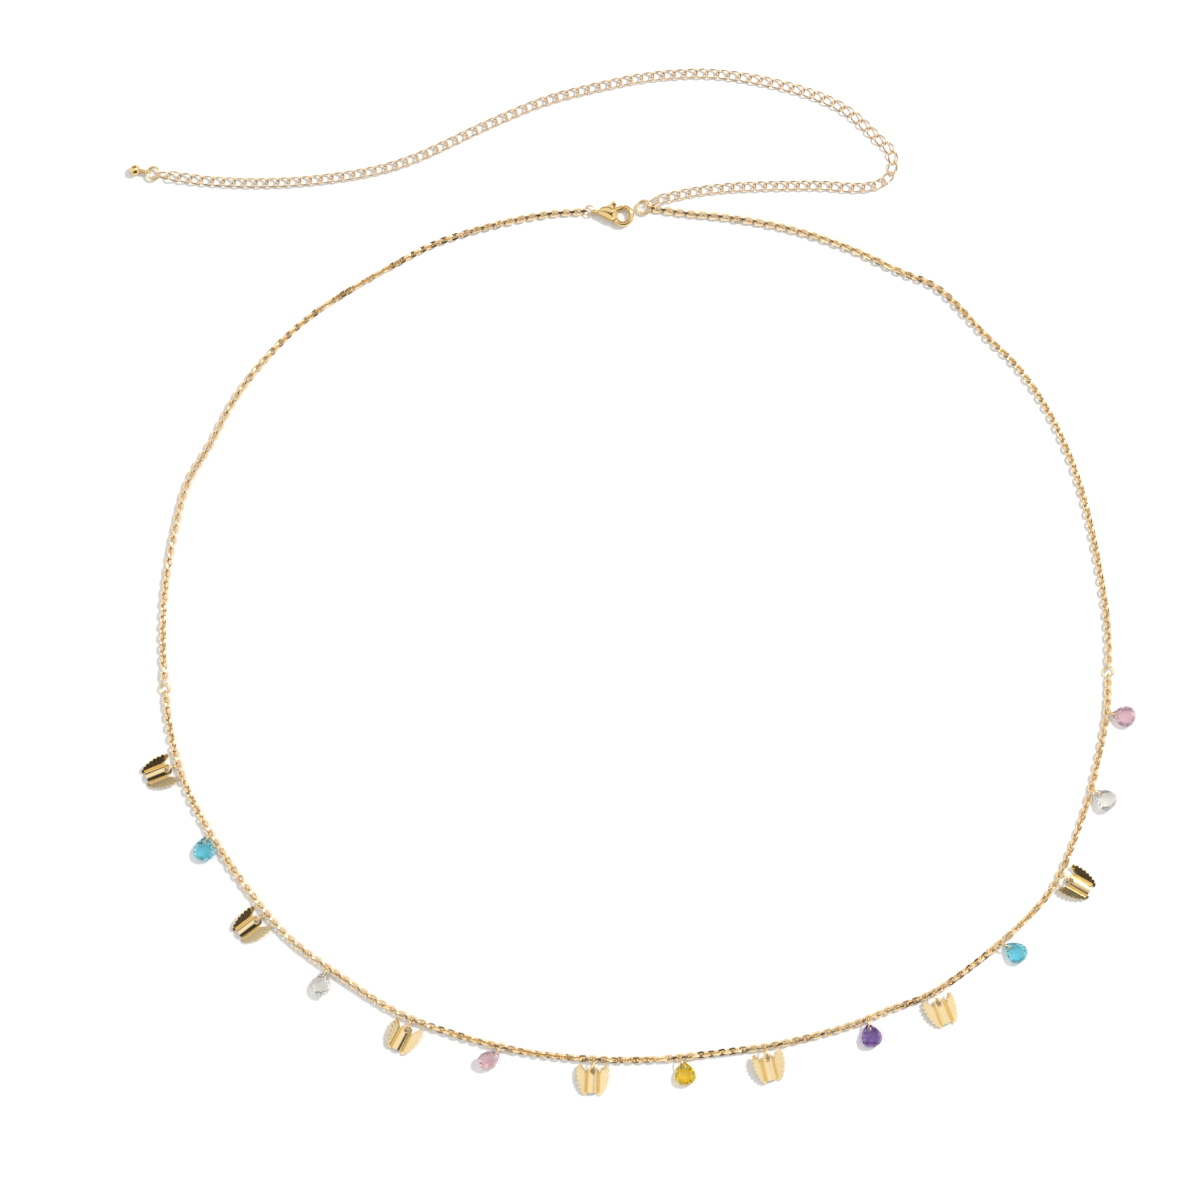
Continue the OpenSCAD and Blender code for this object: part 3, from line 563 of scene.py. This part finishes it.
def clasp_body():
    """The cast body: an eye and a neck, two cheeks that the lever moves between, their spine, and the hook.
    Each is a tube along a path of u, whose widths swell in its middle as sin(pi * u)."""
    up = [0, 0, 1]
    u, ends = round_ends(60, 0.05)
    hook_thick = CLASP_THICKNESS * (0.98 - 0.22 * u)
    hook_path = round_hook(u, HOOK_ARC, HOOK_RADIUS)
    hook = swept(hook_path, HOOK_BAR * (1.1 - 0.15 * u) * ends, hook_thick * ends, up)
    u, ends = round_ends(30, 0.1)
    bulge = np.sin(math.pi * u)
    back_path = np.stack([0.7 + 4.9 * u, -0.15 - 1.75 * u**2, 0 * u], -1)
    spine_path = back_path - np.stack([0 * u, 0.5 * bulge, 0 * u], -1)
    neck_path = np.stack([0.8 + 1.4 * u, -0.1 + 0 * u, 0 * u], -1)
    front_path = np.stack([1.3 + 3.7 * u, 0.4 + 0.4 * bulge, 0 * u], -1)
    side_path = round_hook(u, CHEEK_ARC, HOOK_RADIUS)
    parts = [hook, swept(spine_path, (1 + 0.15 * bulge) * ends, CAST_THICKNESS * ends, up),
        swept(neck_path, 1.6 * ends, CAST_THICKNESS * ends, up)]
    cheek = [(back_path, 1.1 + 0.75 * bulge), (front_path, 1.2 + 0.8 * bulge),
        (side_path, HOOK_BAR * 1.1 + 0 * u)]
    for level in (-(CLASP_THICKNESS - CHEEK) / 2, (CLASP_THICKNESS - CHEEK) / 2):
        for path, width in cheek:
            parts.append(swept(path + [0, 0, level], width * ends, CHEEK * ends, up))
    parts.append(ring([0, 0, -0.02], [0, 1, 0], (EYE_INSIDE + EYE_WIRE) / 2, EYE_WIRE))
    points, faces = joined(parts)
    return piece("clasp_cast_body", (clasp_place(points), faces), ["clasp_body"], CLASP_GOLD, sharp=60)


def clasp_lever():
    """The lever: a gate from the pin between the cheeks along the hook's upper side, and its thumb tab.
    Both are thin between the cheeks and swell outside them."""
    up = [0, 0, 1]
    u, ends = round_ends(30, 0.08)
    start = np.array([PIN_FROM_EYE + 0.2, 0.25, 0])
    share = ease(u / 0.5)[:, None]
    gate_path = start * (1 - share) + round_hook(u, GATE_ARC, GATE_RADIUS) * share
    gate_width = 1.1 + 0.3 * ease((u - 0.5) / 0.3)
    gate_thick = LEVER_THICKNESS + LEVER_SWELL * ease((u - 0.6) / 0.3)
    gate = swept(gate_path, gate_width * ends, gate_thick * ends, up)
    tab_path = np.stack([TAB_START + TAB_LEAN * u, 0.8 + (TAB_HEIGHT - 1) * u, 0.15 * u], -1)
    tab_ends = round_ends(30, 0.24)[1]
    tab_thick = LEVER_THICKNESS + LEVER_SWELL * ease((u - 0.5) / 0.4)
    tab = swept(tab_path, (2.0 - 0.75 * u) * tab_ends, tab_thick * tab_ends, up)
    points, faces = joined([gate, tab])
    return piece("clasp_lever_bar", (clasp_place(points), faces), ["clasp_lever"], CLASP_GOLD, "lever", 60)


def ball_drop():
    """The end ball: a sphere, middle + radius * (sin t cos w, sin t sin w, cos t), a neck and a standing
    eye, along the line from its ring's middle."""
    out = np.array([math.cos(BALL_TURN), math.sin(BALL_TURN), 0])
    eye_middle = middle_of("ball_ring") + BALL_RING_RADIUS * out
    eye = ring(eye_middle, np.cross(out, [0, 0, 1]), BALL_EYE_RADIUS, BALL_EYE_WIRE, 28, 10)
    reach = BALL_EYE_RADIUS + BALL_EYE_WIRE / 2 + BALL_NECK + BALL_RADIUS
    ball = eye_middle + reach * out
    ball[2] = BALL_RADIUS
    t, w = np.linspace(0, math.pi, 25), 2 * math.pi * np.arange(40) / 40
    sphere = np.stack([np.sin(t)[:, None] * np.cos(w), np.sin(t)[:, None] * np.sin(w),
        np.cos(t)[:, None] + 0 * w], -1).reshape(-1, 3)
    u, ends = round_ends(24, 0.1)
    neck_path = eye_middle + (BALL_EYE_RADIUS + (BALL_NECK + BALL_RADIUS / 2) * u)[:, None] * out
    neck_width = (0.95 + 0.25 * u) * ends
    neck = swept(neck_path, neck_width, neck_width, [0, 0, 1])
    shape = joined([(ball + BALL_RADIUS * sphere, grid_faces(25, 40, False, True)), eye, neck])
    return piece("ball_and_eye", shape, ["ball_drop"], CLASP_GOLD, sharp=60)


def floor():
    """A plain white surface, 4 metres across, under the chain."""
    half = 2.0
    mesh = bpy.data.meshes.new("surface")
    corners = [(-half, -half, 0), (half, -half, 0), (half, half, 0), (-half, half, 0)]
    mesh.from_pydata(corners, [], [(0, 1, 2, 3)])
    made = bpy.data.objects.new("surface", mesh)
    bpy.context.scene.collection.objects.link(made)
    paper, nodes, shader = material("white paper")
    nodes.set(shader, {"Base Color": (0.97, 0.97, 0.965, 1), "Roughness": 0.9, "Specular IOR Level": 0.1})
    mesh.materials.append(paper)


def soft_box(name, azimuth, elevation, distance, width, height, power):
    """A rectangular lamp, aimed at the middle of the chain."""
    lamp = bpy.data.lights.new(name, "AREA")
    lamp.shape, lamp.size, lamp.size_y, lamp.energy = "RECTANGLE", width, height, power
    a, e = math.radians(azimuth), math.radians(elevation)
    made = bpy.data.objects.new(name, lamp)
    made.location = distance * np.array([math.cos(a) * math.cos(e), math.sin(a) * math.cos(e), math.sin(e)])
    made.rotation_euler = (math.pi / 2 - e, 0, a + math.pi / 2)
    bpy.context.scene.collection.objects.link(made)


def studio():
    """A key light from the upper right, under a sky that is bright overhead and low down on the left and
    right, and dark low down at the front and back, with a dark panel half way up on the front's right."""
    soft_box("key light", 39, 48, 1.6, 0.12, 0.12, 16)
    world = bpy.data.worlds.new("studio")
    world.use_nodes = True
    bpy.context.scene.world = world
    nodes = Nodes(world.node_tree)
    way = nodes.add("ShaderNodeTexCoord", output="Generated")
    split = world.node_tree.nodes.new("ShaderNodeSeparateXYZ")
    nodes.set(split, {0: way})
    sideways, deep, height = (Socket(world.node_tree, split.outputs[k]) for k in (0, 1, 2))
    front_and_back = nodes.span(sideways ** 2, (0.36, 0.6), (1.0, 0.0))
    low = nodes.span(height, (0.5, 0.74), (1.0, 0.0))
    off_horizon = nodes.span(height, (0.04, 0.2), (0.4, 1.0))
    to_panel = sideways * PANEL_WAY[0] + deep * PANEL_WAY[1] + height * PANEL_WAY[2]
    panel = nodes.span(to_panel, (0.82, 0.94), (0.0, 1.0))
    share = (1 - front_and_back * low * off_horizon) * (1 - panel)
    glow = nodes.span(sideways, (-0.6, 0.6), (1.12, 1.02))
    back = world.node_tree.nodes["Background"]
    nodes.set(back, {"Color": nodes.mix(share, (0.04, 0.034, 0.028), (1.0, 1.0, 1.0)), "Strength": glow})
    bpy.context.scene.view_settings.view_transform = "Standard"


def camera():
    """Straight above the photograph's middle, through a long lens that frames the same width."""
    lens = bpy.data.cameras.new("camera")
    lens.sensor_width = 36
    lens.lens = 36 * CAMERA_HEIGHT / FRAME_WIDTH
    lens.clip_end = 20
    made = bpy.data.objects.new("camera", lens)
    made.location = (FRAME_MIDDLE[0] * MM, FRAME_MIDDLE[1] * MM, (CAMERA_HEIGHT + CABLE_AXIS) * MM)
    bpy.context.scene.collection.objects.link(made)
    bpy.context.scene.camera = made


rear_left, front, rear_right, trail = Route(REAR_LEFT), Route(FRONT), Route(REAR_RIGHT), Route(EXTENDER)
carriers = sorted([row[SHARE] for row in BUTTERFLIES] + GLASS_SHARES)
carrier_places = [share * front.length for share in carriers]
cable_chain("chain_rear_left", rear_left, [SIDE_LINK, rear_left.length - SIDE_LINK], 130)
cable_chain("chain_front", front, [SIDE_LINK, *carrier_places, front.length - SIDE_LINK], 150, 85)
cable_chain("chain_rear_right", rear_right, [SIDE_LINK, rear_right.length - END_LINK], 260,
    rear_right.length)
extender(trail)

for number, row in enumerate(BUTTERFLIES, 1):
    butterfly(number, row, front)
    ring_of(f"butterfly_ring_{number}")
for number, colour in enumerate(GLASS_DROPS, 1):
    ring_of(f"glass_ring_{number}")
    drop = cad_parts[f"glass_drop_{number}"]
    drop.data.materials.clear()
    drop.data.materials.append(GLASS[colour])
for name in ("clasp_ring", "side_ring_left", "side_ring_right", "end_ring", "ball_ring"):
    ring_of(name)
clasp_body()
clasp_lever()
ball_drop()

floor()
studio()
camera()
